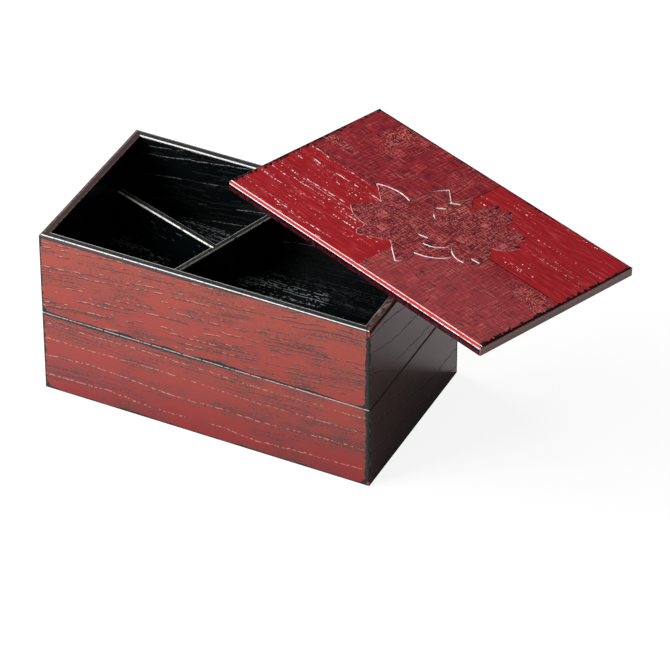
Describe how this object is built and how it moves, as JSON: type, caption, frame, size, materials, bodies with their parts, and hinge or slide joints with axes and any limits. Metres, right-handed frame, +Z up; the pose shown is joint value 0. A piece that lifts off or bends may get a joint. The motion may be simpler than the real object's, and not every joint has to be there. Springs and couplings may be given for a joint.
{
  "type": "stacking box",
  "caption": "Stacking rectangular lacquered wooden box: open tiers with mitred corners, a flat cleated lid laid askew on the rim, and a loose T-shaped divider inside.",
  "frame": {"origin": "middle of the lower tier's underside, in the plane that the box stands on", "axes": "+X along the tiers' long side, towards the end that the lid overhangs; +Y from the front to the back; +Z up"},
  "size_m": [0.2954, 0.179, 0.1107],
  "materials": {
    "vermilion_lacquer": "vermilion lacquer over open-grained wood, rubbed through to black at the edges",
    "black_lacquer": "glossy black lacquer over open-grained wood",
    "lid_lacquer": "crimson lacquer, half plain with open grain and half over cloth",
    "bare_wood": "bare"
  },
  "bodies": {
    "lower_tier": {"lower_front_wall": "vermilion_lacquer", "lower_back_wall": "vermilion_lacquer", "lower_left_wall": "vermilion_lacquer", "lower_right_wall": "vermilion_lacquer", "lower_floor": "black_lacquer", "lower_spline_front_left": "bare_wood", "lower_spline_front_right": "bare_wood", "lower_spline_back_left": "bare_wood", "lower_spline_back_right": "bare_wood"},
    "upper_tier": {"upper_front_wall": "vermilion_lacquer", "upper_back_wall": "vermilion_lacquer", "upper_left_wall": "vermilion_lacquer", "upper_right_wall": "vermilion_lacquer", "upper_floor": "black_lacquer", "upper_spline_front_left": "bare_wood", "upper_spline_front_right": "bare_wood", "upper_spline_back_left": "bare_wood", "upper_spline_back_right": "bare_wood", "upper_cleat_front": "black_lacquer", "upper_cleat_back": "black_lacquer", "upper_cleat_left": "black_lacquer", "upper_cleat_right": "black_lacquer"},
    "divider": {"divider_long": "black_lacquer", "divider_short": "black_lacquer"},
    "lid": {"lid_panel": "lid_lacquer", "lid_cleat_front": "black_lacquer", "lid_cleat_back": "black_lacquer", "lid_cleat_left": "black_lacquer", "lid_cleat_right": "black_lacquer"}
  },
  "joints": [
    {"name": "upper_tier_lift", "type": "slide", "parent": "lower_tier", "child": "upper_tier", "axis": [0, 0, 1], "range_m": [0, 0.06]},
    {"name": "divider_lift", "type": "slide", "parent": "upper_tier", "child": "divider", "axis": [0, 0, 1], "range_m": [0, 0.06]},
    {"name": "lid_lift", "type": "slide", "parent": "divider", "child": "lid", "axis": [0, 0, 1], "range_m": [0, 0.06]}
  ]
}
